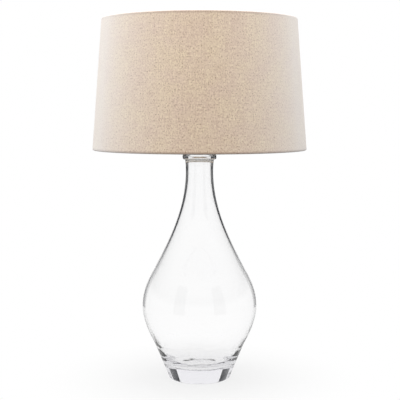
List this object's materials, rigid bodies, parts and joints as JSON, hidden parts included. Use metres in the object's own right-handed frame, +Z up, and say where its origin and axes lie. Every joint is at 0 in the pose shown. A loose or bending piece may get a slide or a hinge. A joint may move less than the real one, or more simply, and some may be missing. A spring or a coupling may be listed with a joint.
{
  "type": "table lamp",
  "caption": "Table lamp: clear blown-glass bottle base with a rolled lip and metal cap, a harp and screw-base socket, and a tapered linen drum shade.",
  "frame": {"origin": "centre of the glass foot on the table", "axes": "+Z up the lamp's axis, -Y to the front, where the switch is, and +X to the right seen from the front"},
  "size_m": [0.4062, 0.4062, 0.695],
  "materials": {
    "clear_glass": "clear blown glass, polished",
    "clear_sealant": "clear silicone sealant, satin",
    "satin_nickel": "satin nickel plate",
    "zinc_steel": "bright zinc plate",
    "brass": "bare brass",
    "black_plastic": "moulded, semi-gloss",
    "phenolic": "moulded phenolic",
    "fibre_board": "pressed insulating paper",
    "aluminium": "rolled, bright",
    "frosted_glass": "frosted inside",
    "linen": "plain linen weave, oatmeal",
    "white_liner": "translucent styrene sheet",
    "white_wire": "white enamel on steel wire"
  },
  "bodies": {
    "lamp": {"glass_body": "clear_glass", "cap_bedding": "clear_sealant", "neck_cap": "satin_nickel", "lock_washer": "zinc_steel", "lock_nut": "zinc_steel", "lamp_nipple": "zinc_steel", "harp_saddle": "satin_nickel", "harp": "satin_nickel", "harp_stud": "satin_nickel", "socket_cap": "satin_nickel", "cap_set_screw": "zinc_steel", "cord_bushing": "black_plastic", "socket_shell": "satin_nickel", "shell_liner": "fibre_board", "socket_body": "phenolic", "terminal_screws": "brass", "screw_shell": "brass", "centre_contact": "brass"},
    "left_sleeve": {"left_harp_sleeve": "satin_nickel"},
    "right_sleeve": {"right_harp_sleeve": "satin_nickel"},
    "finial_thread": {"finial_insert": "brass"},
    "finial": {"finial": "satin_nickel"},
    "bulb_contact": {"bulb_tip": "zinc_steel"},
    "bulb": {"bulb_insulator": "black_plastic", "bulb_base": "aluminium", "bulb_globe": "frosted_glass"},
    "switch": {"switch_stem": "phenolic", "switch_knob": "black_plastic"},
    "shade": {"shade_fabric": "linen", "shade_liner": "white_liner", "shade_top_ring": "white_wire", "shade_bottom_ring": "white_wire", "shade_spider": "white_wire"}
  },
  "joints": [
    {"name": "shade_swivel", "type": "hinge", "parent": "lamp", "child": "shade", "pos_m": [0, 0, 0.6742], "axis": [0, 0, 1], "continuous": true},
    {"name": "finial_rise", "type": "slide", "parent": "lamp", "child": "finial_thread", "axis": [0, 0, 1], "range_m": [0, 0.0076]},
    {"name": "finial_turn", "type": "hinge", "parent": "finial_thread", "child": "finial", "pos_m": [0, 0, 0.6773], "axis": [0, 0, 1], "range_deg": [0, 2880]},
    {"name": "bulb_rise", "type": "slide", "parent": "lamp", "child": "bulb_contact", "axis": [0, 0, 1], "range_m": [0, 0.0146]},
    {"name": "bulb_turn", "type": "hinge", "parent": "bulb_contact", "child": "bulb", "pos_m": [0, 0, 0.4992], "axis": [0, 0, 1], "range_deg": [0, 1440]},
    {"name": "switch_turn", "type": "hinge", "parent": "lamp", "child": "switch", "pos_m": [0, -0.0193, 0.4826], "axis": [0, -1, 0], "continuous": true},
    {"name": "left_sleeve_slide", "type": "slide", "parent": "lamp", "child": "left_sleeve", "axis": [0, 0, 1], "range_m": [0, 0.012]},
    {"name": "right_sleeve_slide", "type": "slide", "parent": "lamp", "child": "right_sleeve", "axis": [0, 0, 1], "range_m": [0, 0.012]}
  ],
  "couplings": [
    {"joint": "finial_rise", "follows": "finial_turn", "m_per_rad": 0.00014972},
    {"joint": "bulb_rise", "follows": "bulb_turn", "m_per_rad": 0.00057756}
  ]
}
